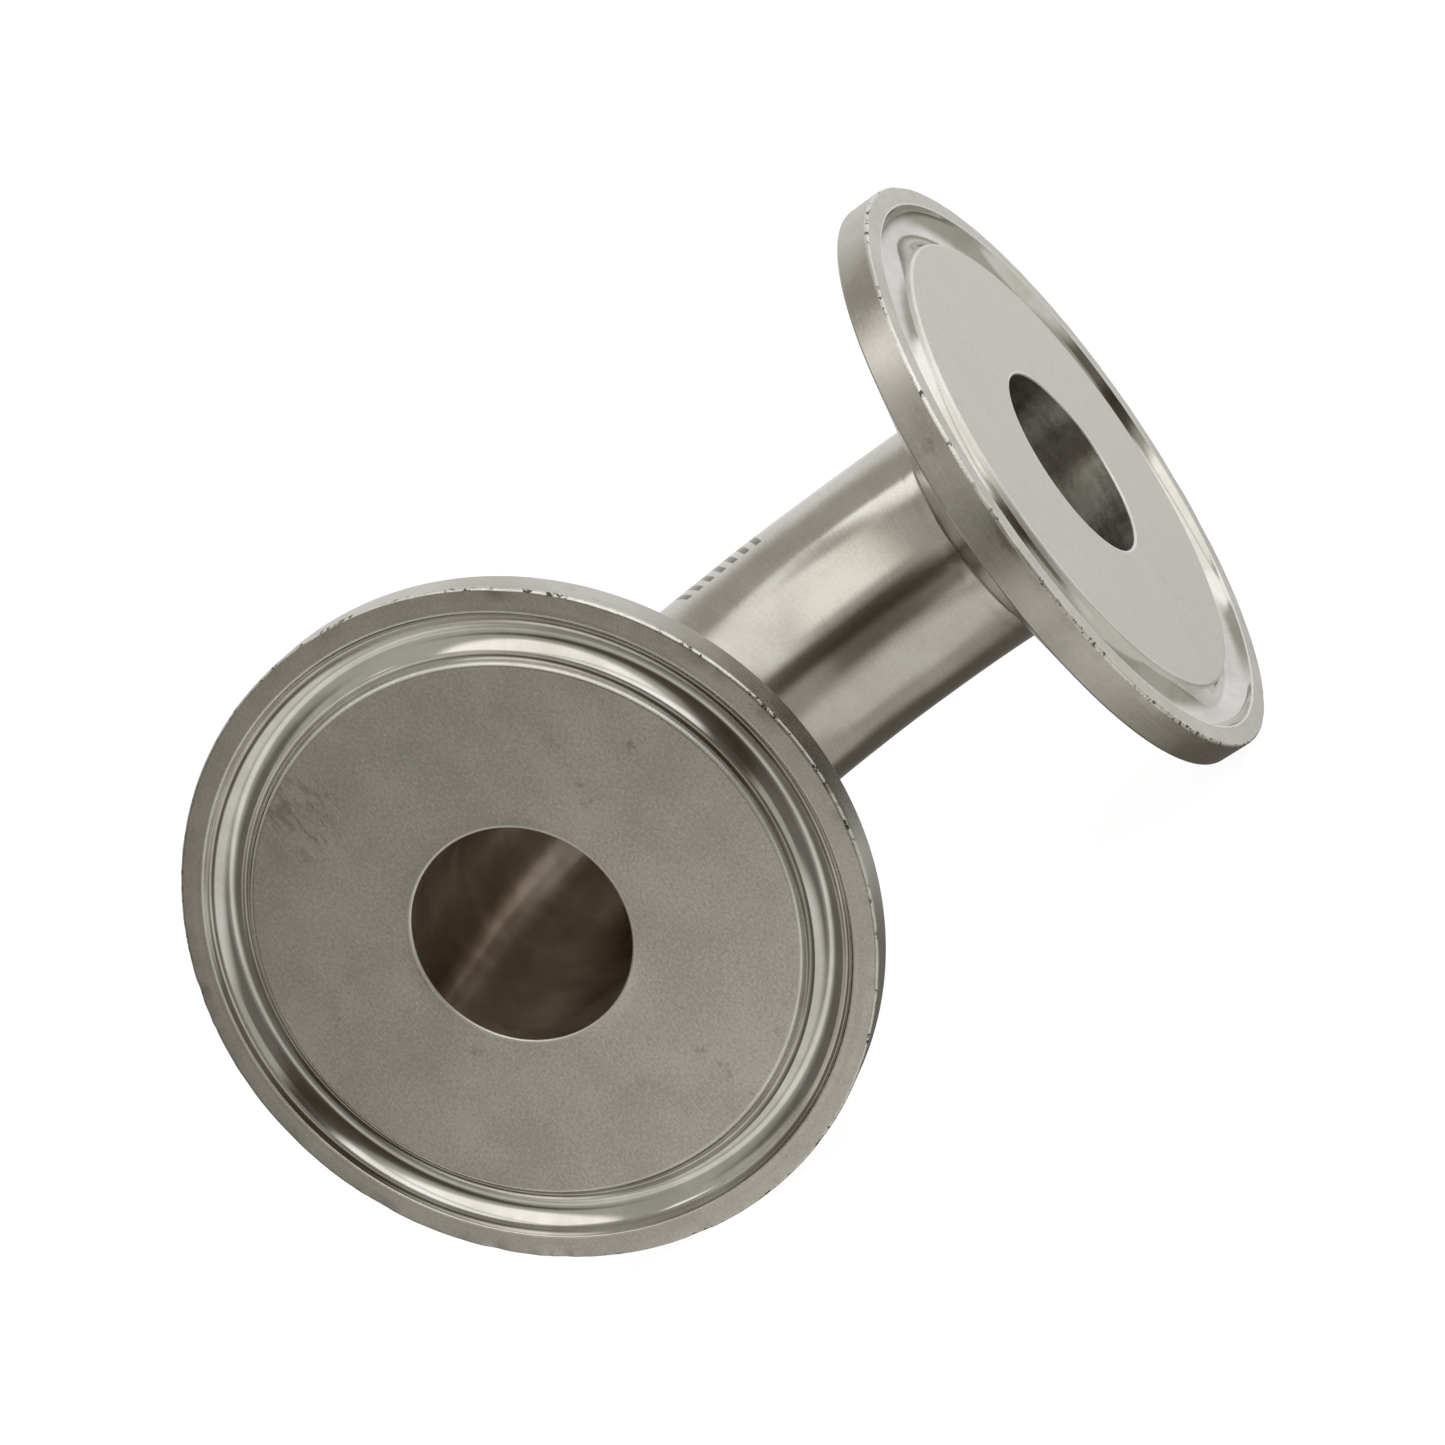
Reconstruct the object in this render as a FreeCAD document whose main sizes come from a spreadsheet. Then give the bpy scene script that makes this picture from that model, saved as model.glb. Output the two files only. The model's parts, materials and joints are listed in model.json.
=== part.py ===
"""A 90 degree sanitary elbow: a bent tube with a clamp ferrule butt-welded to each end.

The elbow lies in the XY plane. Port A opens along +X and port B along +Y. The origin is the centre of
port A's sealing face. All sizes are in millimetres.
"""
import FreeCAD, Part
import os
import Sketcher

X_AXIS = FreeCAD.Vector(1, 0, 0)
Z_AXIS = FreeCAD.Vector(0, 0, 1)

SIZES = {
    "flange_diameter": 50.5,
    "rim_thickness": 2.85,
    "rim_chamfer": 0.15,
    "back_cone_angle": 20.0,
    "groove_inner_diameter": 40.0,
    "groove_outer_diameter": 47.0,
    "groove_depth": 1.6,
    "tube_diameter": 19.0,
    "bore_diameter": 16.0,
    "ferrule_length": 8.8,
    "weld_width": 1.0,
    "weld_crown": 0.08,
    "bend_radius": 31.0,
}

# How far the weld, the bend and the elbow's corner lie behind a sealing face, as sheet expressions.
WELD_START = "Sizes.ferrule_length"
BEND_START = "(Sizes.ferrule_length + Sizes.weld_width)"
CENTRE_TO_FACE = "(Sizes.ferrule_length + Sizes.weld_width + Sizes.bend_radius)"


def fill_sheet(doc):
    """Write each driving size in a cell of its own, with its name as the alias."""
    sheet = doc.addObject("Spreadsheet::Sheet", "Sizes")
    for row, (name, value) in enumerate(SIZES.items(), start=1):
        sheet.set(f"A{row}", name)
        sheet.set(f"B{row}", str(value))
        sheet.setAlias(f"B{row}", name)
    doc.recompute()


def origin_plane(body, role):
    return next(item for item in body.Origin.OriginFeatures if item.Role == role)


def new_body(doc, name):
    body = doc.addObject("PartDesign::Body", name)
    body.Label = name
    return body


def new_sketch(body, plane_role):
    sketch = body.newObject("Sketcher::SketchObject", f"{body.Name}_section")
    sketch.AttachmentSupport = [(origin_plane(body, plane_role), "")]
    sketch.MapMode = "FlatFace"
    return sketch


def add_line(sketch, start, end):
    line = Part.LineSegment(FreeCAD.Vector(*start, 0), FreeCAD.Vector(*end, 0))
    return sketch.addGeometry(line, False)


def add_arc(sketch, start, middle, end):
    points = [FreeCAD.Vector(*point, 0) for point in (start, middle, end)]
    return sketch.addGeometry(Part.Arc(*points), False)


def constrain(sketch, *terms):
    return sketch.addConstraint(Sketcher.Constraint(*terms))


def drive(sketch, name, expression, *terms):
    """Add a dimension, give it a name and bind it to the sheet."""
    index = constrain(sketch, *terms)
    sketch.renameConstraint(index, name)
    sketch.setExpression(f"Constraints.{name}", expression)


def revolve(body, sketch, axis, angle=360.0):
    turned = body.newObject("PartDesign::Revolution", f"{body.Name}_revolution")
    turned.Profile = sketch
    turned.ReferenceAxis = (sketch, [axis])
    turned.Angle = angle
    sketch.Visibility = False
    return turned


def place(body, turn, x_expression, y_expression):
    """Turn a body about Z and bind where it stands to the sheet."""
    body.Placement = FreeCAD.Placement(FreeCAD.Vector(0, 0, 0), FreeCAD.Rotation(Z_AXIS, turn))
    body.setExpression("Placement.Base.x", x_expression)
    body.setExpression("Placement.Base.y", y_expression)


def make_ferrule(doc, name):
    """A turned clamp ferrule. Its sealing face is at x = 0 and faces +X; the tube stub points along -X."""
    body = new_body(doc, name)
    sketch = new_sketch(body, "XY_Plane")

    # Half section, with the axis of the ferrule along the sketch's horizontal axis. The rough places
    # below only tell the solver which side each line is on; the dimensions place them.
    bore_mouth, groove_in, groove_out = (0, 8), (0, 20), (0, 23.5)
    land_edge, rim_front, rim_back = (0, 25.1), (-0.15, 25.25), (-2.85, 25.25)
    cone_end, stub_end, bore_end = (-8.5, 9.5), (-8.8, 9.5), (-8.8, 8)

    face = add_line(sketch, bore_mouth, groove_in)
    groove = add_arc(sketch, groove_in, (-1.6, 21.75), groove_out)
    land = add_line(sketch, groove_out, land_edge)
    chamfer = add_line(sketch, land_edge, rim_front)
    rim = add_line(sketch, rim_front, rim_back)
    cone = add_line(sketch, rim_back, cone_end)
    stub = add_line(sketch, cone_end, stub_end)
    stub_face = add_line(sketch, stub_end, bore_end)
    bore = add_line(sketch, bore_end, bore_mouth)

    # Part.Arc may turn either way, so each of its ends is matched by where it lies.
    groove_start = 1 if sketch.getPoint(groove, 1).y < sketch.getPoint(groove, 2).y else 2
    groove_end = 3 - groove_start
    constrain(sketch, "Coincident", face, 2, groove, groove_start)
    constrain(sketch, "Coincident", groove, groove_end, land, 1)
    outline = [land, chamfer, rim, cone, stub, stub_face, bore, face]
    for line, next_line in zip(outline, outline[1:]):
        constrain(sketch, "Coincident", line, 2, next_line, 1)

    for line in (face, land, stub_face):
        constrain(sketch, "Vertical", line)
    for line in (rim, stub, bore):
        constrain(sketch, "Horizontal", line)
    constrain(sketch, "PointOnObject", face, 1, -2)
    constrain(sketch, "PointOnObject", land, 1, -2)

    drive(sketch, "bore_radius", "Sizes.bore_diameter / 2", "DistanceY", -1, 1, face, 1, 8)
    drive(sketch, "groove_in_radius", "Sizes.groove_inner_diameter / 2", "DistanceY", -1, 1, face, 2, 20)
    drive(sketch, "groove_out_radius", "Sizes.groove_outer_diameter / 2", "DistanceY", -1, 1, land, 1, 23.5)
    drive(sketch, "flange_radius", "Sizes.flange_diameter / 2", "DistanceY", -1, 1, rim, 1, 25.25)
    drive(sketch, "tube_radius", "Sizes.tube_diameter / 2", "DistanceY", -1, 1, stub, 1, 9.5)
    drive(sketch, "chamfer_height", "Sizes.rim_chamfer", "DistanceY", land, 2, rim, 1, 0.15)
    drive(sketch, "chamfer_depth", "Sizes.rim_chamfer", "DistanceX", rim, 1, land, 2, 0.15)
    drive(sketch, "rim_width", "Sizes.rim_thickness", "DistanceX", rim, 2, land, 2, 2.85)
    drive(sketch, "full_length", "Sizes.ferrule_length", "DistanceX", stub, 2, land, 2, 8.8)
    # The cone's angle is measured from the flange's plane, so from the vertical stub face.
    drive(sketch, "cone_angle", "Sizes.back_cone_angle", "Angle", cone, 1, stub_face, 1, 0.349)
    # An arc of chord c and depth d has the radius (c^2 / 4 + d^2) / 2d.
    half_chord = "((Sizes.groove_outer_diameter - Sizes.groove_inner_diameter) / 4)"
    groove_radius = f"({half_chord} ^ 2 + Sizes.groove_depth ^ 2) / (2 * Sizes.groove_depth)"
    drive(sketch, "groove_radius", groove_radius, "Radius", groove, 1.76)

    revolve(body, sketch, "H_Axis")
    return body


def make_weld(doc, name):
    """A butt weld, dressed almost flush. It starts at x = 0 and runs along -X."""
    body = new_body(doc, name)
    sketch = new_sketch(body, "XY_Plane")
    front = add_line(sketch, (0, 8), (0, 9.5))
    crown = add_arc(sketch, (0, 9.5), (-0.5, 9.58), (-1, 9.5))
    back = add_line(sketch, (-1, 9.5), (-1, 8))
    root = add_line(sketch, (-1, 8), (0, 8))

    crown_start = 1 if sketch.getPoint(crown, 1).x > sketch.getPoint(crown, 2).x else 2
    constrain(sketch, "Coincident", front, 2, crown, crown_start)
    constrain(sketch, "Coincident", crown, 3 - crown_start, back, 1)
    constrain(sketch, "Coincident", back, 2, root, 1)
    constrain(sketch, "Coincident", root, 2, front, 1)
    constrain(sketch, "Vertical", front)
    constrain(sketch, "Vertical", back)
    constrain(sketch, "Horizontal", root)
    constrain(sketch, "PointOnObject", front, 1, -2)

    drive(sketch, "bore_radius", "Sizes.bore_diameter / 2", "DistanceY", -1, 1, front, 1, 8)
    drive(sketch, "front_radius", "Sizes.tube_diameter / 2", "DistanceY", -1, 1, front, 2, 9.5)
    drive(sketch, "back_radius", "Sizes.tube_diameter / 2", "DistanceY", -1, 1, back, 1, 9.5)
    drive(sketch, "width", "Sizes.weld_width", "DistanceX", root, 1, root, 2, 1)
    crown_radius = "(Sizes.weld_width ^ 2 / 4 + Sizes.weld_crown ^ 2) / (2 * Sizes.weld_crown)"
    drive(sketch, "crown_radius", crown_radius, "Radius", crown, 1.6)

    revolve(body, sketch, "H_Axis")
    return body


def make_elbow_tube(doc, name):
    """The bent tube: a ring section swept a quarter turn about Z, from the body's XZ plane."""
    body = new_body(doc, name)
    sketch = new_sketch(body, "XZ_Plane")
    for wall, diameter in (("outer", "tube_diameter"), ("inner", "bore_diameter")):
        centre = FreeCAD.Vector(SIZES["bend_radius"], 0, 0)
        radius = SIZES[diameter] / 2
        circle = sketch.addGeometry(Part.Circle(centre, Z_AXIS, radius), False)
        constrain(sketch, "PointOnObject", circle, 3, -1)
        drive(sketch, f"{wall}_place", "Sizes.bend_radius", "DistanceX", -1, 1, circle, 3, centre.x)
        drive(sketch, f"{wall}_radius", f"Sizes.{diameter} / 2", "Radius", circle, radius)
    revolve(body, sketch, "V_Axis", 90.0)
    return body


def build(doc):
    ferrule_a = make_ferrule(doc, "ferrule_a")
    place(ferrule_a, 0, "0", "0")

    weld_a = make_weld(doc, "weld_a")
    place(weld_a, 0, f"-{WELD_START}", "0")

    elbow_tube = make_elbow_tube(doc, "elbow_tube")
    place(elbow_tube, 180, f"-{BEND_START}", "Sizes.bend_radius")

    weld_b = make_weld(doc, "weld_b")
    place(weld_b, 90, f"-{CENTRE_TO_FACE}", f"{CENTRE_TO_FACE} - {WELD_START}")

    ferrule_b = make_ferrule(doc, "ferrule_b")
    place(ferrule_b, 90, f"-{CENTRE_TO_FACE}", CENTRE_TO_FACE)

    doc.recompute()
    return [ferrule_a, weld_a, elbow_tube, weld_b, ferrule_b]


def check(doc, sub_parts):
    """Stop on any failed object, on a shape that isn't one closed solid, and on a loose sketch."""
    for item in doc.Objects:
        if "Invalid" in item.State or "Error" in item.State:
            raise SystemExit(f"{item.Name} failed to recompute: {item.State}")
        if item.TypeId == "Sketcher::SketchObject" and item.solve() != 0:
            raise SystemExit(f"{item.Name} doesn't solve")
    for part in sub_parts:
        shape = part.Shape
        if shape.isNull() or not shape.isValid() or len(shape.Solids) != 1:
            raise SystemExit(f"{part.Label} isn't one valid solid")
        box = shape.optimalBoundingBox()
        print(f"{part.Label}: volume {shape.Volume:.1f} mm3, "
              f"x {box.XMin:.2f} to {box.XMax:.2f}, y {box.YMin:.2f} to {box.YMax:.2f}, "
              f"z {box.ZMin:.2f} to {box.ZMax:.2f}")


def main():
    doc = FreeCAD.newDocument("clamp_elbow")
    fill_sheet(doc)
    sub_parts = build(doc)
    check(doc, sub_parts)
    os.makedirs("parts", exist_ok=True)
    for part in sub_parts:
        part.Shape.exportStep(f"parts/{part.Label}.step")


main()
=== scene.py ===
"""Looks for a sanitary clamp elbow: two turned ferrules, a bent polished tube and two dressed welds.

Every piece is rebuilt here as a fine mesh inside its CAD node's own shape, with the edge breaks, small
nicks and polishing waves that the plain CAD solids leave out. All lengths are in metres.
"""
import json
import math

import bpy
import numpy as np
from mathutils import Matrix, Vector


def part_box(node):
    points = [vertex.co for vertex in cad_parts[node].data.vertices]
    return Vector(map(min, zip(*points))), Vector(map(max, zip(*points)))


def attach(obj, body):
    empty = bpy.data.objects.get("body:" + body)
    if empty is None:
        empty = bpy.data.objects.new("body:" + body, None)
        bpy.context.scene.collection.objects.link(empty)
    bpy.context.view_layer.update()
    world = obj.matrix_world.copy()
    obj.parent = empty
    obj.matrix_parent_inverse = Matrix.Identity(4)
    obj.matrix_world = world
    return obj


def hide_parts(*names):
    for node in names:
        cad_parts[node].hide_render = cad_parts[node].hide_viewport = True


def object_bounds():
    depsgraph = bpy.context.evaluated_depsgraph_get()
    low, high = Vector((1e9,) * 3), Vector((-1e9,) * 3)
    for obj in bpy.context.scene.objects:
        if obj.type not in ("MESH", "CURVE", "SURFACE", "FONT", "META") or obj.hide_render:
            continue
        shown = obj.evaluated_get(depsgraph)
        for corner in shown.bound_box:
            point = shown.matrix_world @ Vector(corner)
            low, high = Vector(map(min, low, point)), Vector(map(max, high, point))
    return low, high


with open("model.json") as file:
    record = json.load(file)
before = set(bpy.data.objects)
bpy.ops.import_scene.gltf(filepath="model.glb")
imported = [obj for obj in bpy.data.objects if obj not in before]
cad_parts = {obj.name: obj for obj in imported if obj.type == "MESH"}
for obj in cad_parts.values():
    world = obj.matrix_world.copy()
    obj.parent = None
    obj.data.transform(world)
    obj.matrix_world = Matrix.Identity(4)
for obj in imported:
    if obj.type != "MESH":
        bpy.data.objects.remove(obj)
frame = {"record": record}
CAD_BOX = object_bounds()
MM = 0.001


# ---------------------------------------------------------------- sizes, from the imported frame
FERRULE_LOW, FERRULE_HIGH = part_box("ferrule_a")
TUBE_LOW, TUBE_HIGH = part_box("elbow_tube")
WELD_LOW, WELD_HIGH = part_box("weld_a")
MOUNTS = {mount["name"]: mount for mount in frame["record"]["mounts"]}

FLANGE_R = FERRULE_HIGH.z
FERRULE_LENGTH = -FERRULE_LOW.x
TUBE_R = TUBE_HIGH.z
WELD_WIDTH = WELD_HIGH.x - WELD_LOW.x
BORE_R = MOUNTS["port_a_bore"]["dims"]["r_mm"] * MM
PORT_A = Vector(MOUNTS["port_a_bore"]["pos_m"])
PORT_B = Vector(MOUNTS["port_b_bore"]["pos_m"])
CENTRE_TO_FACE = PORT_B.y
BEND_START = FERRULE_LENGTH + WELD_WIDTH
BEND_R = CENTRE_TO_FACE - BEND_START

# Sizes of the flange's section that the boxes can't give.
RIM_THICKNESS = 2.85 * MM
GROOVE_IN_R = 20.0 * MM
GROOVE_OUT_R = 23.5 * MM
GROOVE_DEPTH = 1.6 * MM
BACK_CONE = 20.0    # degrees that the flange's back leans from square

# Edge breaks, which only the looks have.
BORE_BREAK = 0.16 * MM
GROOVE_IN_ROUND = 0.34 * MM
GROOVE_OUT_ROUND = 0.12 * MM
RIM_FRONT_BREAK = 0.22 * MM
RIM_BACK_BREAK = 0.18 * MM
NECK_FILLET = 0.6 * MM
DRESSED_CROWN = 0.012 * MM
FLAT_DEPTH = 0.035 * MM
FACE_WAVE = 0.002 * MM
DRESSING_WAVE = 0.006 * MM
NICK_DEPTH, NICK_DEPTH_MOST = 0.045 * MM, 0.16 * MM

# How finely the meshes are cut, and the seed of everything that is random.
AROUND = 720
TUBE_AROUND = 256
TUBE_STEPS = 120
SHARP_FROM = 38.0    # degrees between faces
SEED = 41


# ---------------------------------------------------------------- outlines
def straight(start, end, step, margin=0.06 * MM):
    """Points from start to end. Two points close to each end keep a flat face's shading flat."""
    start, end = np.array(start, float), np.array(end, float)
    length = np.linalg.norm(end - start)
    margin = min(margin, length / 4)
    count = max(2, int(math.ceil((length - 2 * margin) / step)) + 1)
    places = np.linspace(margin, length - margin, count) / length
    places = np.concatenate([[0.0], places, [1.0]])
    return start + places[:, None] * (end - start)


def arc(centre, radius, start_deg, end_deg, step_deg=9.0):
    """Points along an arc, with its angles measured from +x towards +r."""
    count = max(3, int(math.ceil(abs(end_deg - start_deg) / step_deg)) + 1)
    turn = np.radians(np.linspace(start_deg, end_deg, count))
    return np.array(centre) + radius * np.stack([np.cos(turn), np.sin(turn)], 1)


def join(*runs):
    """One closed outline from runs that meet end to end, and the run that each point belongs to."""
    points, zones = [], []
    for zone, run in runs:
        for point in run:
            if points and np.linalg.norm(np.array(points[-1]) - point) < 1e-8:
                continue
            points.append(point)
            zones.append(zone)
    if np.linalg.norm(np.array(points[0]) - points[-1]) < 1e-8:
        points.pop()
        zones.pop()
    return np.array(points), zones


def angle_deg(centre, point):
    return math.degrees(math.atan2(point[1] - centre[1], point[0] - centre[0]))


def ferrule_outline():
    """Half section of a ferrule as (x, r): the sealing face is at x = 0 and the metal is behind it."""
    groove_r = (GROOVE_IN_R + GROOVE_OUT_R) / 2
    half_chord = (GROOVE_OUT_R - GROOVE_IN_R) / 2
    groove_radius = (half_chord ** 2 + GROOVE_DEPTH ** 2) / (2 * GROOVE_DEPTH)
    groove_centre = (groove_radius - GROOVE_DEPTH, groove_r)

    def lip(side, radius):
        """Centre of the round between the face and the groove's wall, and where it meets the wall."""
        away = math.sqrt((groove_radius + radius) ** 2 - (groove_centre[0] + radius) ** 2)
        centre = np.array([-radius, groove_r + side * away])
        towards = (np.array(groove_centre) - centre) / (groove_radius + radius)
        return centre, centre + radius * towards

    in_centre, in_wall = lip(-1, GROOVE_IN_ROUND)
    out_centre, out_wall = lip(1, GROOVE_OUT_ROUND)
    wall_in, wall_out = angle_deg(groove_centre, in_wall), angle_deg(groove_centre, out_wall)
    # Both rounds are tangent to the cone, and reach this share of their radius along the line they join.
    reach = math.tan(math.radians((90.0 - BACK_CONE) / 2))
    rim_back_centre = (-RIM_THICKNESS + RIM_BACK_BREAK * reach, FLANGE_R - RIM_BACK_BREAK)
    cone_top = arc(rim_back_centre, RIM_BACK_BREAK, 90.0, 180.0 - BACK_CONE)
    neck_x = -RIM_THICKNESS - (FLANGE_R - TUBE_R) * math.tan(math.radians(BACK_CONE))
    neck_centre = (neck_x - NECK_FILLET * reach, TUBE_R + NECK_FILLET)
    neck_arc = arc(neck_centre, NECK_FILLET, -BACK_CONE, -90.0, 12.0)
    neck_arc = neck_arc[neck_arc[:, 0] > -FERRULE_LENGTH]

    return join(
        ("break", arc((-BORE_BREAK, BORE_R + BORE_BREAK), BORE_BREAK, -90.0, 0.0, 15.0)),
        ("face", straight((0, BORE_R + BORE_BREAK), (0, in_centre[1]), 1.0 * MM)),
        ("lip", arc(in_centre, GROOVE_IN_ROUND, 0.0, angle_deg(in_centre, in_wall), 11.0)),
        ("groove", arc(groove_centre, groove_radius, wall_in, wall_out - 360 * (wall_out > 0), 7.0)),
        ("lip", arc(out_centre, GROOVE_OUT_ROUND, angle_deg(out_centre, out_wall), 0.0, 18.0)),
        ("land", straight((0, out_centre[1]), (0, FLANGE_R - RIM_FRONT_BREAK), 0.45 * MM)),
        ("edge", arc((-RIM_FRONT_BREAK, FLANGE_R - RIM_FRONT_BREAK), RIM_FRONT_BREAK, 0.0, 90.0, 15.0)),
        ("rim", straight((-RIM_FRONT_BREAK, FLANGE_R), (rim_back_centre[0], FLANGE_R), 0.3 * MM)),
        ("rim", cone_top),
        ("cone", straight(cone_top[-1], neck_arc[0], 1.2 * MM)),
        ("cone", neck_arc),
        ("stub", straight(neck_arc[-1], (-FERRULE_LENGTH, neck_arc[-1][1]), 0.3 * MM)),
        ("end", straight((-FERRULE_LENGTH, neck_arc[-1][1]), (-FERRULE_LENGTH, BORE_R), 0.5 * MM)),
        ("bore", straight((-FERRULE_LENGTH, BORE_R), (-BORE_BREAK, BORE_R), 1.1 * MM)),
    )


# ---------------------------------------------------------------- meshes
def ring_mesh(name, points, zones, lengths, materials):
    """A closed mesh from points[row, turn], where rows go round the section and turns go round the axis.

    zones name each row's stretch, and materials maps a zone to its material. The attribute "ring" holds,
    for the materials, the length along the section in millimetres and the turn as a unit circle.
    """
    rows, turns = points.shape[:2]
    index = np.arange(rows * turns).reshape(rows, turns)
    below, beside = np.roll(index, -1, 0), np.roll(index, -1, 1)
    corner = np.roll(below, -1, 1)
    faces = np.stack([index, below, corner, beside], -1).reshape(-1, 4)

    mesh = bpy.data.meshes.new(name)
    mesh.vertices.add(rows * turns)
    mesh.vertices.foreach_set("co", points.reshape(-1).astype(np.float32))
    mesh.loops.add(faces.size)
    mesh.loops.foreach_set("vertex_index", faces.reshape(-1).astype(np.int32))
    mesh.polygons.add(len(faces))
    mesh.polygons.foreach_set("loop_start", np.arange(0, faces.size, 4, dtype=np.int32))
    slots = []
    for material in materials.values():
        if material not in slots:
            slots.append(material)
            mesh.materials.append(material)
    row_slot = np.array([slots.index(materials[zone]) for zone in zones])
    mesh.polygons.foreach_set("material_index", np.repeat(row_slot, turns).astype(np.int32))
    mesh.update(calc_edges=True)
    mesh.validate()

    turn = np.arange(turns) * 2 * math.pi / turns
    ring = np.empty((rows, turns, 3), np.float32)
    ring[..., 0] = (lengths / MM)[:, None]
    ring[..., 1] = np.cos(turn)
    ring[..., 2] = np.sin(turn)
    attribute = mesh.attributes.new("ring", "FLOAT_VECTOR", "POINT")
    attribute.data.foreach_set("vector", ring.reshape(-1))

    # U runs round the axis and V along the section, so that the tangent follows the tool marks.
    u = np.arange(turns + 1) / turns
    v = np.append(lengths, lengths[-1] + lengths[1]) / (lengths[-1] + lengths[1])
    row, column = np.divmod(np.arange(rows * turns), turns)
    uv = np.stack([
        np.stack([u[column], v[row]], -1), np.stack([u[column], v[row + 1]], -1),
        np.stack([u[column + 1], v[row + 1]], -1), np.stack([u[column + 1], v[row]], -1),
    ], 1)
    layer = mesh.uv_layers.new(name="marks")
    layer.data.foreach_set("uv", uv.reshape(-1).astype(np.float32))

    mesh.shade_smooth()
    mesh.set_sharp_from_angle(angle=math.radians(SHARP_FROM))
    piece = bpy.data.objects.new(name, mesh)
    bpy.context.scene.collection.objects.link(piece)
    return piece


def section_lengths(outline):
    steps = np.linalg.norm(np.diff(outline, axis=0), axis=1)
    return np.concatenate([[0.0], np.cumsum(steps)])


def waves(rng, turn, terms, low, high):
    """A wave that repeats each turn, from seeded cosines with low to high crests a turn."""
    sizes, phases = rng.normal(size=terms), rng.uniform(0, 2 * math.pi, terms)
    crests = rng.integers(low, high + 1, terms)
    total = sum(size * np.cos(count * turn + phase) for size, count, phase in zip(sizes, crests, phases))
    return total / np.linalg.norm(sizes)


def to_port(points, port):
    """From a ferrule's own frame (its face at x = 0, facing +x) to the row frame."""
    if port == "a":
        return points + np.array(PORT_A)
    turned = np.stack([-points[..., 1], points[..., 0], points[..., 2]], -1)
    return turned + np.array(PORT_B)


def nick_depths(rng, turn, count):
    """How deep the rim's front edge is nicked at each turn: a few small dents, most of them shallow."""
    depth = np.zeros_like(turn)
    for _ in range(count):
        place = rng.uniform(0, 2 * math.pi)
        width = rng.uniform(0.25, 1.1) * MM / FLANGE_R
        size = rng.exponential(NICK_DEPTH)
        away = (turn - place + math.pi) % (2 * math.pi) - math.pi
        depth = np.maximum(depth, min(size, NICK_DEPTH_MOST) * np.exp(-(away / width) ** 2))
    return depth


def make_ferrule(port, materials):
    rng = np.random.default_rng(SEED + ord(port))
    outline, zones = ferrule_outline()
    lengths = section_lengths(outline)
    turn = np.arange(AROUND) * 2 * math.pi / AROUND
    axial = np.repeat(outline[:, :1], AROUND, 1)
    radial = np.repeat(outline[:, 1:], AROUND, 1)

    # The rim's front edge: a break of uneven width, with nicks pressed in at 45 degrees.
    uneven = waves(rng, turn, 24, 3, 90) * 0.02 * MM + 0.03 * MM
    press = np.clip(uneven, 0, None) + nick_depths(rng, turn, 60)
    edge_centre = np.array([-RIM_FRONT_BREAK, FLANGE_R - RIM_FRONT_BREAK])
    near = np.exp(-(np.linalg.norm(outline - edge_centre, axis=1) / (0.24 * MM)) ** 2)[:, None]
    axial = axial - near * press * 0.7
    radial = radial - near * press * 0.7

    # A turned and sanded face is flat only to a few microns, which shows in what it reflects.
    lean = np.array([zone in ("face", "land") for zone in zones])[:, None]
    dish = waves(rng, turn, 6, 1, 5) * np.cos(lengths / (3.1 * MM))[:, None]
    axial = axial - lean * np.clip(1 + dish, 0, None) * FACE_WAVE

    points = np.stack([axial, radial * np.sin(turn), radial * np.cos(turn)], -1)
    piece = ring_mesh(f"turned_ferrule_{port}", to_port(points, port), zones, lengths, materials)
    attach(piece, "root")
    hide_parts(f"ferrule_{port}")


def make_weld(port, materials):
    half = WELD_WIDTH / 2
    crown_radius = (half ** 2 + DRESSED_CROWN ** 2) / (2 * DRESSED_CROWN)
    span = math.degrees(math.asin(half / crown_radius))
    middle = -FERRULE_LENGTH - half
    crown_centre = (middle, TUBE_R + DRESSED_CROWN - crown_radius)
    outline, zones = join(
        ("outside", arc(crown_centre, crown_radius, 90.0 - span, 90.0 + span, span / 4)),
        ("end", straight((middle - half, TUBE_R), (middle - half, BORE_R), 0.5 * MM)),
        ("bore", straight((middle - half, BORE_R), (middle + half, BORE_R), 0.3 * MM)),
        ("end", straight((middle + half, BORE_R), (middle + half, TUBE_R), 0.5 * MM)),
    )
    lengths = section_lengths(outline)
    turn = np.arange(AROUND) * 2 * math.pi / AROUND
    rng = np.random.default_rng(SEED + 10 + ord(port))
    crest = np.array([zone == "outside" for zone in zones]) * (1 - ((outline[:, 0] - middle) / half) ** 2)
    dressed = (waves(rng, turn, 9, 2, 18) * 0.5 - 0.6) * DRESSING_WAVE
    radial = outline[:, 1:] + np.clip(crest, 0, 1)[:, None] * dressed
    axial = np.repeat(outline[:, :1], AROUND, 1)
    points = np.stack([axial, radial * np.sin(turn), radial * np.cos(turn)], -1)
    piece = ring_mesh(f"dressed_weld_{port}", to_port(points, port), zones, lengths, materials)
    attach(piece, "root")
    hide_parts(f"weld_{port}")


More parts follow.
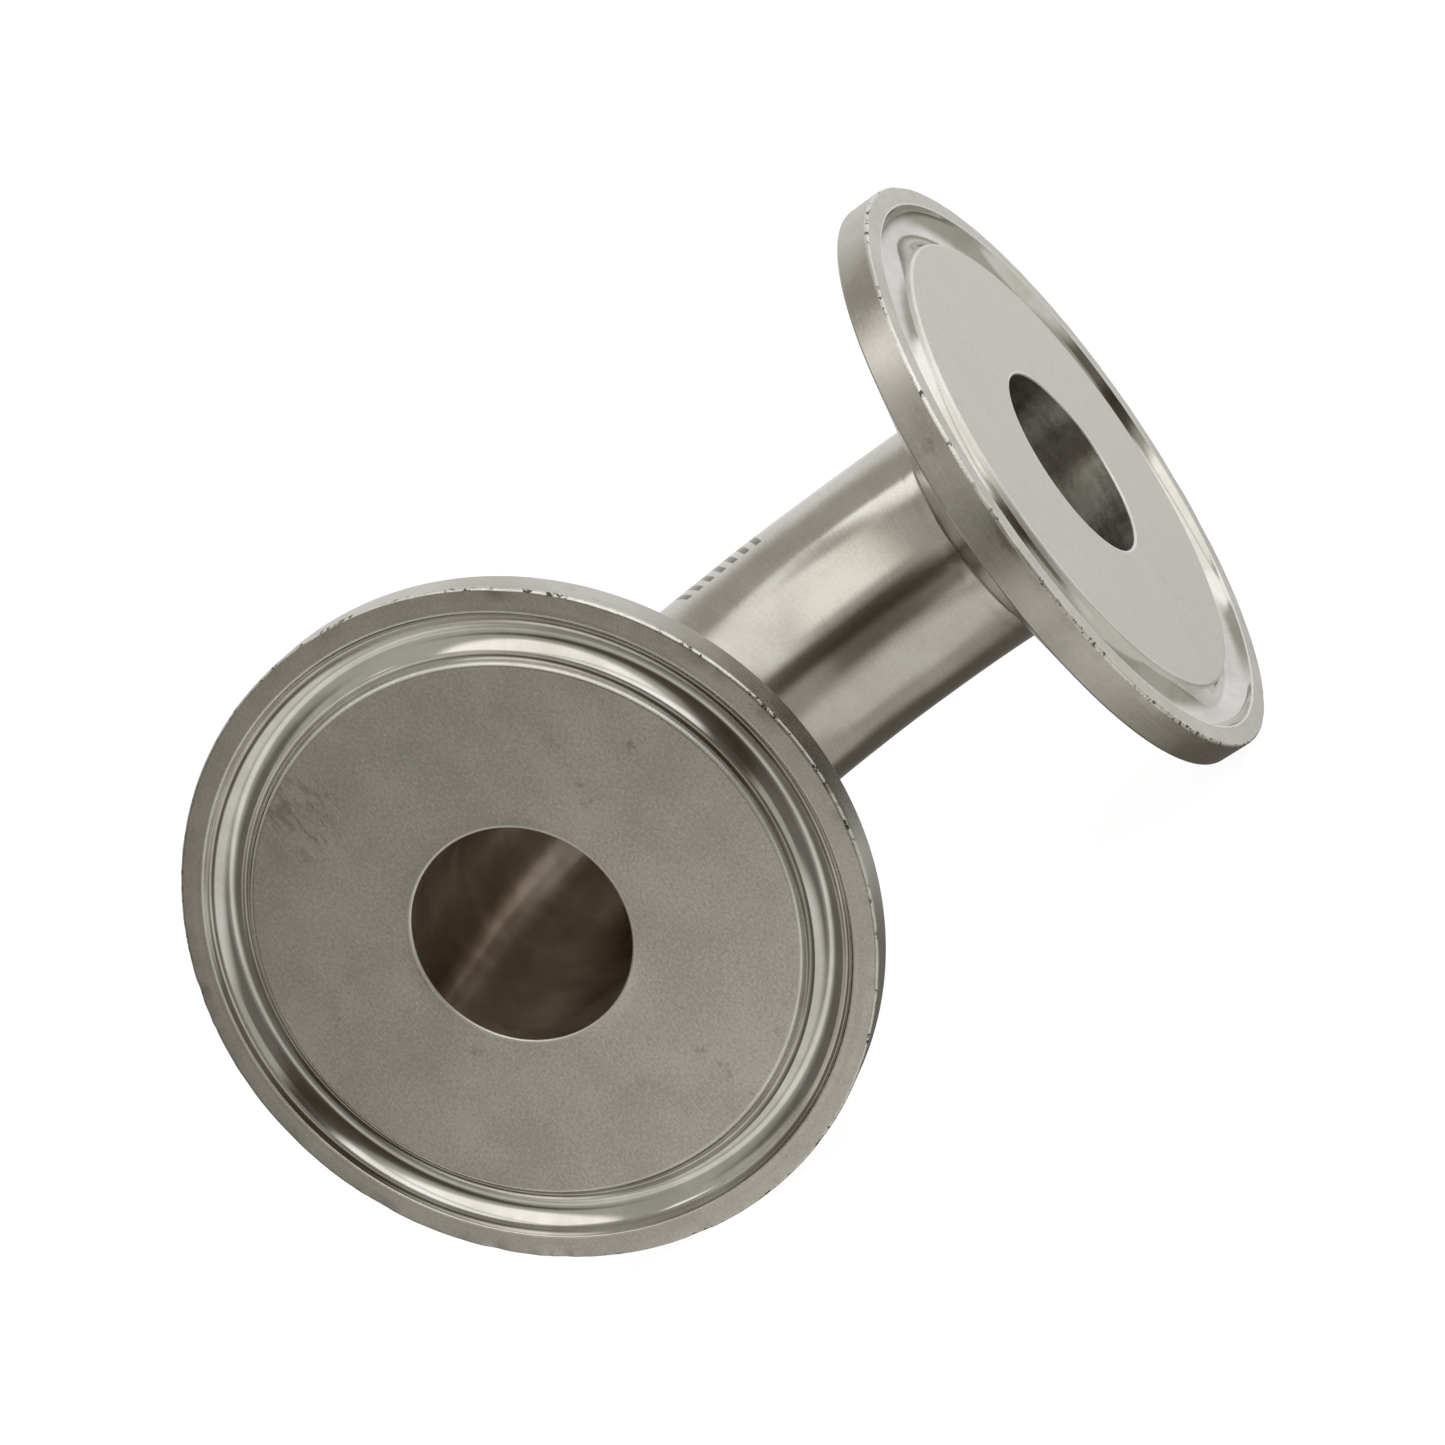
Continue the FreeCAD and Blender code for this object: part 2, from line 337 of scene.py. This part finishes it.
def bending_marks(bend, turn):
    """Shallow flats that the bending and the hand polishing leave, as a change of radius.

    The flats change over short stretches of the bend, which puts the small kinks into the reflections.
    """
    rng = np.random.default_rng(SEED + 30)
    stretches, crests = 7, np.arange(2, 10)
    sizes = rng.normal(size=(stretches + 1, 2, len(crests))) / crests
    place = bend / (math.pi / 2) * stretches
    first = np.clip(place.astype(int), 0, stretches - 1)
    change = np.clip((place - first - 0.5) / 0.55 + 0.5, 0, 1)
    change = (change ** 2 * (3 - 2 * change))[:, None, None]
    mixed = sizes[first] * (1 - change) + sizes[first + 1] * change
    spun = crests[:, None] * turn
    return (mixed[:, 0] @ np.cos(spun) + mixed[:, 1] @ np.sin(spun)) * FLAT_DEPTH


def make_tube(materials):
    """The bent tube. Each row is a ring: outside from port B's end to port A's, then back inside."""
    bend_centre = np.array([-BEND_START, BEND_R, 0.0])
    out_run = np.linspace(0, math.pi / 2, TUBE_STEPS)
    wall = np.linspace(TUBE_R, BORE_R, 4)[1:-1]
    bend = np.concatenate([out_run, [out_run[-1]] * len(wall), out_run[::-1], [0.0] * len(wall)])
    radius = np.concatenate([[TUBE_R] * TUBE_STEPS, wall, [BORE_R] * TUBE_STEPS, wall[::-1]])
    zones = ["outside"] * (TUBE_STEPS - 1) + ["end"] * (len(wall) + 1) + ["bore"] * (TUBE_STEPS - 1)
    zones += ["end"] * (len(wall) + 1)
    lengths = np.concatenate([[0.0], np.cumsum(np.abs(np.diff(bend)) * BEND_R + np.abs(np.diff(radius)))])

    turn = np.arange(TUBE_AROUND) * 2 * math.pi / TUBE_AROUND
    ends_fixed = np.clip(np.sin(2 * bend), 0, 1)[:, None] ** 0.5
    radial = radius[:, None] + bending_marks(bend, turn) * ends_fixed

    outward = np.stack([-np.cos(bend), -np.sin(bend), np.zeros_like(bend)], 1)
    centre = bend_centre + BEND_R * outward
    up = np.array([0.0, 0.0, 1.0])
    points = centre[:, None] + radial[..., None] * (
        np.sin(turn)[None, :, None] * outward[:, None] + np.cos(turn)[None, :, None] * up)
    piece = ring_mesh("bent_tube", points, zones, lengths, materials)
    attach(piece, "root")
    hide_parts("elbow_tube")


# ---------------------------------------------------------------- materials
class Nodes:
    """Short names for building one material's nodes."""

    def __init__(self, tree):
        self.tree = tree

    def add(self, kind, inputs=(), **settings):
        node = self.tree.nodes.new(kind)
        for name, value in settings.items():
            setattr(node, name, value)
        for name, value in dict(inputs).items():
            if isinstance(value, bpy.types.NodeSocket):
                self.tree.links.new(value, node.inputs[name])
            else:
                node.inputs[name].default_value = value
        return node

    def math(self, operation, first, second=0.0):
        return self.add("ShaderNodeMath", {0: first, 1: second}, operation=operation).outputs[0]

    def scaled(self, vector, scale):
        return self.add("ShaderNodeVectorMath", {0: vector, 1: scale}, operation="MULTIPLY").outputs[0]

    def noise(self, vector, scale=1.0, detail=2.0, roughness=0.5):
        inputs = {"Vector": vector, "Scale": scale, "Detail": detail, "Roughness": roughness}
        return self.add("ShaderNodeTexNoise", inputs).outputs["Fac"]

    def remap(self, value, low, high, to_low=0.0, to_high=1.0):
        inputs = {"Value": value, "From Min": low, "From Max": high, "To Min": to_low, "To Max": to_high}
        return self.add("ShaderNodeMapRange", inputs, interpolation_type="SMOOTHSTEP").outputs[0]

    def mix_value(self, factor, first, second):
        return self.add("ShaderNodeMix", {0: factor, 2: first, 3: second}, data_type="FLOAT").outputs[0]

    def mix(self, factor, first, second):
        node = self.add("ShaderNodeMix", {0: factor}, data_type="RGBA")
        for socket, value in ((node.inputs[6], first), (node.inputs[7], second)):
            if isinstance(value, bpy.types.NodeSocket):
                self.tree.links.new(value, socket)
            else:
                socket.default_value = (*value, 1.0)
        return node.outputs[2]


def steel(name, light, dark, roughness, spread, anisotropy=0.0, marks=(7.0, 0.0), strokes=0.0, grain=0.1,
          cloudy=0.5, stain=0.0, pits=0.0, scuffed=False, etched=False):
    """Bare stainless steel. light and dark are the two tones that its clouds and grain run between.

    marks are tool marks round the axis: how many to a millimetre, and their depth. strokes are the depth of
    straight sanding strokes along Z, grain that of a fine pitting; depths are bump strengths. cloudy is how
    much of the tone is broad clouds instead of fine grain. stain and pits are the strengths of brown spots
    and of dark pin holes, whose near-black is painted shade. scuffed adds port A's scuff, and etched the
    row of bars on the tube.
    """
    material = bpy.data.materials.new(name)
    material.use_nodes = True
    tree = material.node_tree
    tree.nodes.clear()
    n = Nodes(tree)
    ring = n.add("ShaderNodeAttribute", attribute_name="ring").outputs["Vector"]
    place = n.add("ShaderNodeTexCoord").outputs["Object"]

    mark = n.noise(n.scaled(ring, (marks[0], 2.2, 2.2)), 1.0, 3.0, 0.6)
    stroke = n.noise(n.scaled(place, (8500.0, 8500.0, 2600.0)), 1.0, 2.0, 0.6)
    fine = n.noise(place, 4400.0, 3.0, 0.8)
    clouds = n.noise(place, 170.0, 4.0, 0.6)

    close = n.mix_value(0.6, stroke if strokes else mark, fine)
    tone = n.remap(n.mix_value(cloudy, close, clouds), 0.39, 0.61)
    base = n.mix(tone, dark, light)
    if stain:
        spots = n.remap(n.noise(place, 420.0, 5.0, 0.7), 0.58, 0.70, 0.0, stain)
        patch = n.remap(n.noise(place, 60.0, 2.0, 0.5), 0.50, 0.64)
        base = n.mix(n.math("MULTIPLY", spots, patch), base, (0.22, 0.19, 0.15))
    if scuffed:
        apart = n.add("ShaderNodeVectorMath", {0: place, 1: SCUFF_PLACE}, operation="DISTANCE")
        smear = n.noise(n.scaled(place, (1300.0, 1300.0, 450.0)), 1.0, 4.0, 0.6)
        rubbed = n.remap(smear, 0.45, 0.62, 0.0, 0.45)
        inside = n.remap(apart.outputs["Value"], SCUFF_CORE, SCUFF_RADIUS, 1.0, 0.0)
        rubbed = n.math("MULTIPLY", rubbed, inside)
        base = n.mix(rubbed, base, (0.20, 0.165, 0.125))
    # Dark pin holes: their near-black colour is painted shade inside the holes.
    if pits:
        deep = n.remap(n.noise(place, 1700.0, 3.0, 0.7), 0.53, 0.60, 0.0, pits)
        where = n.remap(n.noise(place, 260.0, 2.0, 0.5), 0.42, 0.54)
        base = n.mix(n.math("MULTIPLY", deep, where), base, (0.06, 0.05, 0.04))
    if etched:
        base = n.mix(etched_bars(n, ring), base, (0.09, 0.05, 0.03))

    uneven = n.math("SUBTRACT", n.math("ADD", mark, clouds), 1.0)
    rough = n.math("ADD", n.math("MULTIPLY", uneven, spread), roughness)
    height = n.math("ADD", n.math("MULTIPLY", mark, marks[1]), n.math("MULTIPLY", fine, grain))
    height = n.math("ADD", height, n.math("MULTIPLY", stroke, strokes))
    bump = n.add("ShaderNodeBump", {"Height": height, "Strength": 1.0, "Distance": 0.01 * MM})
    shader = n.add("ShaderNodeBsdfPrincipled", {
        "Base Color": base, "Metallic": 1.0, "Roughness": rough, "Normal": bump.outputs[0],
        "Anisotropic": anisotropy, "Anisotropic Rotation": 0.25,
    })
    if anisotropy:
        tangent = n.add("ShaderNodeTangent", direction_type="UV_MAP", uv_map="marks")
        tree.links.new(tangent.outputs[0], shader.inputs["Tangent"])
    n.add("ShaderNodeOutputMaterial", {"Surface": shader.outputs[0]})
    return material


# A brown scuff on port A's face.
SCUFF_PLACE = Vector((0.0, -0.32, 0.62)) * FLANGE_R
SCUFF_CORE, SCUFF_RADIUS = 1.5 * MM, 4.5 * MM

# The etched mark on top of the tube: a plain row of bars. They run along the bend from port B's end of it,
# in millimetres on the bend's middle line, and are turned from straight up, in degrees.
BARS_FROM, BARS_TO, BAR_PITCH, BAR_WIDTH = 13.6, 22.4, 1.25, 0.6
BARS_TURN, BARS_HALF_TURN = -6.5, 8.5


def etched_bars(n, ring):
    """How much of a dark bar there is at each place on the tube."""
    part = n.add("ShaderNodeSeparateXYZ", {0: ring}).outputs
    turn = n.math("MULTIPLY", n.math("ARCTAN2", part[2], part[1]), 180 / math.pi)
    aside = n.math("ABSOLUTE", n.math("SUBTRACT", turn, BARS_TURN))
    along = n.math("ABSOLUTE", n.math("SUBTRACT", part[0], (BARS_FROM + BARS_TO) / 2))
    beat = n.math("MODULO", n.math("SUBTRACT", part[0], BARS_FROM - 10 * BAR_PITCH), BAR_PITCH)
    off_centre = n.math("ABSOLUTE", n.math("SUBTRACT", beat, BAR_PITCH / 2))
    bar = n.remap(off_centre, BAR_WIDTH / 2 - 0.06, BAR_WIDTH / 2 + 0.06, 0.85, 0.0)
    for value, limit, soft in ((aside, BARS_HALF_TURN, 0.5), (along, (BARS_TO - BARS_FROM) / 2, 0.05)):
        bar = n.math("MULTIPLY", bar, n.remap(value, limit - soft, limit + soft, 1.0, 0.0))
    return bar


def make_materials():
    """Every finish by what it is on. clean_face is port B's face, which is less worn.
    The two bore tones are copies of one steel. Port B's lighter one is painted light, and the darker,
    browner one in port A's bore, the welds and the tube is painted shade.
    """
    warm, olive = (0.66, 0.635, 0.595), (0.52, 0.50, 0.455)
    return {
        "face": steel("sanded_face", (0.665, 0.64, 0.593), (0.475, 0.457, 0.415), 0.25, 0.06,
                      marks=(9.0, 0.04), strokes=0.2, grain=0.5, cloudy=0.3, stain=0.55, scuffed=True),
        "clean_face": steel("clean_face", warm, (0.60, 0.58, 0.545), 0.25, 0.05, marks=(9.0, 0.03),
                            strokes=0.08, grain=0.12, cloudy=0.25, stain=0.12),
        "groove": steel("polished_groove", (0.79, 0.78, 0.76), (0.66, 0.645, 0.61), 0.09, 0.03,
                        marks=(6.0, 0.05), grain=0.05, cloudy=0.8),
        "land": steel("sanded_land", warm, olive, 0.26, 0.08, marks=(9.0, 0.06), strokes=0.2, grain=0.3,
                      cloudy=0.4, stain=0.3),
        # The rounded lips of the groove and the bore's edge break: their near-white tone, lighter than the
        # rest of the steel, is a painted highlight all round.
        "lip": steel("lip_painted_highlight", (0.95, 0.94, 0.92), (0.80, 0.78, 0.75), 0.42, 0.05, marks=(10.0, 0.1),
                     grain=0.2),
        # The rim's front edge is a real burr. Its near-white tone, lighter than the rest of the steel, is a
        # painted glint, and its dark pits are painted shade.
        "burr": steel("burr_painted_glint_and_shade", (0.97, 0.96, 0.94), (0.74, 0.72, 0.68), 0.34, 0.10, marks=(10.0, 0.2),
                      grain=1.6, cloudy=0.3, pits=0.95),
        "rim": steel("turned_rim", warm, olive, 0.28, 0.10, marks=(8.0, 0.25), grain=0.4, cloudy=0.6,
                     stain=0.5),
        "cone": steel("turned_cone", warm, olive, 0.24, 0.08, 0.6, marks=(5.0, 0.4), grain=0.2),
        "tube": steel("cross_polished_tube", (0.68, 0.66, 0.625), (0.58, 0.555, 0.51), 0.185, 0.04, 0.85,
                      marks=(7.0, 0.3), grain=0.2, cloudy=0.5, etched=True),
        "weld": steel("dressed_weld", (0.67, 0.65, 0.615), (0.57, 0.54, 0.50), 0.17, 0.05, 0.8,
                      marks=(7.0, 0.2), grain=0.2, cloudy=0.5),
        # The bore's steel in two tones. This darker, browner copy is painted shade deep inside port A's
        # bore, the welds and the tube. The next, lighter copy is painted light in port B's bore.
        "bore": steel("bore_painted_shade", (0.64, 0.565, 0.49), (0.45, 0.385, 0.32), 0.24, 0.06, 1.0,
                      marks=(1.6, 0.15), grain=0.05, cloudy=0.8),
        "bore_painted_light": steel("bore_painted_light", (0.75, 0.73, 0.68), (0.42, 0.405, 0.37), 0.24, 0.08, 1.0,
                            marks=(1.6, 0.3), grain=0.05, cloudy=0.5),
    }


# ---------------------------------------------------------------- stage, light and camera
FLOOR_HALF = 4.0


def make_floor():
    """A pale floor that the camera sees almost white. The steel reflects the light tent, not the floor."""
    z = CAD_BOX[0].z
    corners = [(x * FLOOR_HALF, y * FLOOR_HALF, z) for x, y in ((-1, -1), (1, -1), (1, 1), (-1, 1))]
    mesh = bpy.data.meshes.new("floor")
    mesh.from_pydata(corners, [], [(0, 1, 2, 3)])
    material = bpy.data.materials.new("pale_floor")
    material.use_nodes = True
    material.node_tree.nodes.clear()
    n = Nodes(material.node_tree)
    matte = n.add("ShaderNodeBsdfDiffuse", {"Color": (0.2, 0.2, 0.2, 1.0)}).outputs[0]
    glow = n.add("ShaderNodeEmission", {"Color": (1.0, 1.0, 1.0, 1.0), "Strength": 0.93}).outputs[0]
    both = n.add("ShaderNodeAddShader", {0: matte, 1: glow}).outputs[0]
    n.add("ShaderNodeOutputMaterial", {"Surface": both})
    mesh.materials.append(material)
    floor = bpy.data.objects.new("floor", mesh)
    bpy.context.scene.collection.objects.link(floor)
    floor.visible_glossy = False


# A plain light tent. Each row is a soft-edged rectangle as the part sees it: its azimuth from
# +X towards +Y, its elevation, half its width, half its height and its border, in degrees, then its
# strength. A soft box has a tint too.
WARM, NEUTRAL, COOL = (1.03, 1.0, 0.95), (1.0, 1.0, 1.0), (0.98, 1.0, 1.08)
TENT_TINT, TENT_LEVEL = (1.03, 1.0, 0.90), 0.4
DARK_ROOM = (0.04, 0.03, 0.02)
SOFT_BOXES = {
    "overhead": (20, 45, 20, 20, 10, 0.7, WARM),
    "right_wall": (80, 45, 20, 30, 20, 0.7, NEUTRAL),
    "back_wall": (165, 10, 45, 25, 25, 0.4, COOL),
    "roof": (-60, 75, 20, 10, 10, 1.0, NEUTRAL),
    "white_table": (20, -60, 60, 15, 15, 0.25, NEUTRAL),
    "table_edge": (-25, -20, 15, 5, 10, 0.4, WARM),
}
DARK_GAPS = {
    "behind_camera": (30, 0, 45, 5, 10, 0.9),
    "table_front": (15, -15, 25, 10, 10, 0.7),
    "left_door": (-60, 5, 20, 20, 15, 0.7),
    "under_table": (-140, -40, 40, 20, 20, 0.8),
}


def tent_patch(n, azimuth_now, elevation_now, azimuth, elevation, half_width, half_height, border,
               strength):
    """How much of a soft box or gap there is in each direction, up to its strength."""
    aside = n.math("SUBTRACT", azimuth_now, azimuth)
    aside = n.add("ShaderNodeMath", {0: aside, 1: 180.0, 2: -180.0}, operation="WRAP").outputs[0]
    above = n.math("SUBTRACT", elevation_now, elevation)
    inside = strength
    for away, half in ((aside, half_width), (above, half_height)):
        level = n.remap(n.math("ABSOLUTE", away), half, half + border, 1.0, 0.0)
        inside = n.math("MULTIPLY", inside, level)
    return inside


def make_world():
    """The tent is what the steel reflects. The camera itself sees plain white."""
    world = bpy.data.worlds.new("light_tent")
    bpy.context.scene.world = world
    world.use_nodes = True
    world.node_tree.nodes.clear()
    n = Nodes(world.node_tree)
    direction = n.add("ShaderNodeTexCoord").outputs["Generated"]
    part = n.add("ShaderNodeSeparateXYZ", {0: direction}).outputs
    degree = 180 / math.pi
    azimuth = n.math("MULTIPLY", n.math("ARCTAN2", part[1], part[0]), degree)
    elevation = n.math("MULTIPLY", n.math("ARCSINE", part[2]), degree)
    light = tuple(TENT_LEVEL * level for level in TENT_TINT)
    for *shape, tint in SOFT_BOXES.values():
        patch = tent_patch(n, azimuth, elevation, *shape)
        box = n.add("ShaderNodeVectorMath", {0: tint, "Scale": patch}, operation="SCALE").outputs[0]
        light = n.add("ShaderNodeVectorMath", {0: light, 1: box}, operation="ADD").outputs[0]
    for shape in DARK_GAPS.values():
        light = n.mix(tent_patch(n, azimuth, elevation, *shape), light, DARK_ROOM)
    tent = n.add("ShaderNodeBackground", {"Color": light, "Strength": 1.0})
    white = n.add("ShaderNodeBackground", {"Color": (1.0, 1.0, 1.0, 1.0), "Strength": 1.0})
    seen = n.add("ShaderNodeLightPath").outputs["Is Camera Ray"]
    mixed = n.add("ShaderNodeMixShader", {0: seen, 1: tent.outputs[0], 2: white.outputs[0]})
    n.add("ShaderNodeOutputWorld", {"Surface": mixed.outputs[0]})


# Where the camera looks from, and its roll, in degrees; its place and its lens.
CAMERA_AZIMUTH, CAMERA_ELEVATION, CAMERA_ROLL = 22.88, 7.93, -37.21
CAMERA_PLACE = Vector((190.92, 102.39, 33.39)) * MM
CAMERA_LENS = 78.32


def make_camera():
    azimuth, elevation = math.radians(CAMERA_AZIMUTH), math.radians(CAMERA_ELEVATION)
    back = Vector((math.cos(elevation) * math.cos(azimuth), math.cos(elevation) * math.sin(azimuth),
                   math.sin(elevation)))
    level_right = Vector((0, 0, 1)).cross(back).normalized()
    turn = Matrix.Rotation(math.radians(CAMERA_ROLL), 3, back)
    right = turn @ level_right
    axes = Matrix((right, back.cross(right), back)).transposed()
    data = bpy.data.cameras.new("camera")
    data.lens = CAMERA_LENS
    data.clip_start, data.clip_end = 0.01, 20.0
    camera = bpy.data.objects.new("camera", data)
    camera.matrix_world = Matrix.Translation(CAMERA_PLACE) @ axes.to_4x4()
    bpy.context.scene.collection.objects.link(camera)
    bpy.context.scene.camera = camera


def main():
    look = make_materials()
    flange = {"break": look["lip"], "face": look["face"], "lip": look["lip"], "groove": look["groove"],
              "land": look["land"], "edge": look["burr"], "rim": look["rim"], "cone": look["cone"],
              "stub": look["weld"], "end": look["bore"], "bore": look["bore"]}
    weld = {"outside": look["weld"], "end": look["bore"], "bore": look["bore"]}
    tube = {"outside": look["tube"], "end": look["bore"], "bore": look["bore"]}
    # Port B has a less worn face, and a lighter bore tone that is painted light.
    clean_face_lit_bore_flange = {**flange, "face": look["clean_face"], "bore": look["bore_painted_light"]}
    for port, finish in ("a", flange), ("b", clean_face_lit_bore_flange):
        make_ferrule(port, finish)
        make_weld(port, weld)
    make_tube(tube)
    make_floor()
    make_world()
    make_camera()
    bpy.context.scene.view_settings.view_transform = "Standard"


main()
